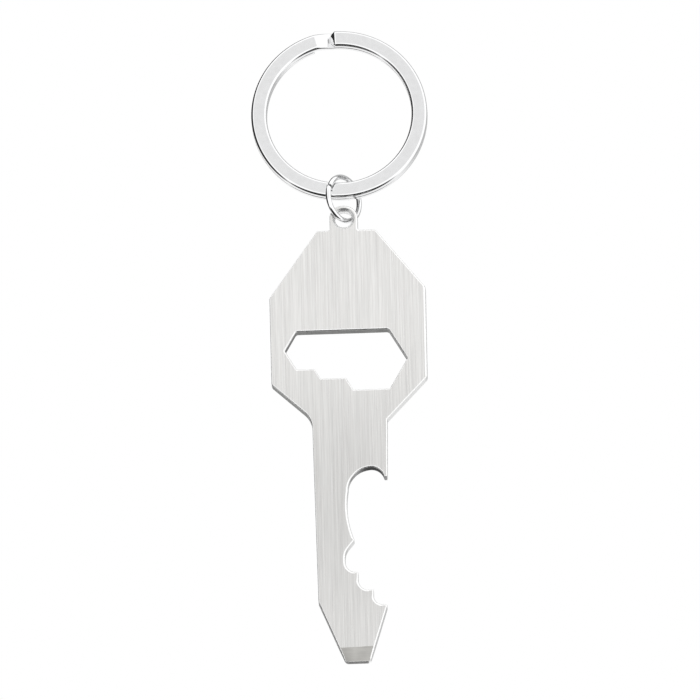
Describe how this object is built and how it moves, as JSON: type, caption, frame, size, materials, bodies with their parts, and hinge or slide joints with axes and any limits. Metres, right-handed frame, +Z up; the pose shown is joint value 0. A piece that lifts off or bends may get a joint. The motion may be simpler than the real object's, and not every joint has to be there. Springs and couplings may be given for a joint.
{
  "type": "keychain bottle opener",
  "caption": "Flat brushed steel keychain bottle opener with a cap-lifting mouth, hexagon spanner cut-out and driver tip, hung on a split key ring by a small jump ring.",
  "frame": {"origin": "top inner edge of the split ring, midway between its two coils, where a hook or a strap carries the hanging object", "axes": "+Z up as the object hangs, -Y out of the plate's front face, +X to the right as seen from the front"},
  "size_m": [0.028, 0.0062, 0.1056],
  "materials": {
    "split_ring": "polished nickel plate",
    "jump_ring": "bright polished wire",
    "opener_plate": "fine lengthwise brushing, with bright cut edges"
  },
  "bodies": {
    "split_ring": {"split_ring": "split_ring"},
    "jump_ring": {"jump_ring": "jump_ring"},
    "opener_plate": {"opener_plate": "opener_plate"}
  },
  "joints": [
    {"name": "jump_ring_swing", "type": "hinge", "parent": "split_ring", "child": "jump_ring", "pos_m": [0, 0, -0.02425], "axis": [1, 0, 0], "range_deg": [-110, 110]},
    {"name": "plate_swing", "type": "hinge", "parent": "jump_ring", "child": "opener_plate", "pos_m": [0.00071, 0, -0.02869], "axis": [0.6561, 0.7547, 0], "range_deg": [-40, 40]}
  ]
}
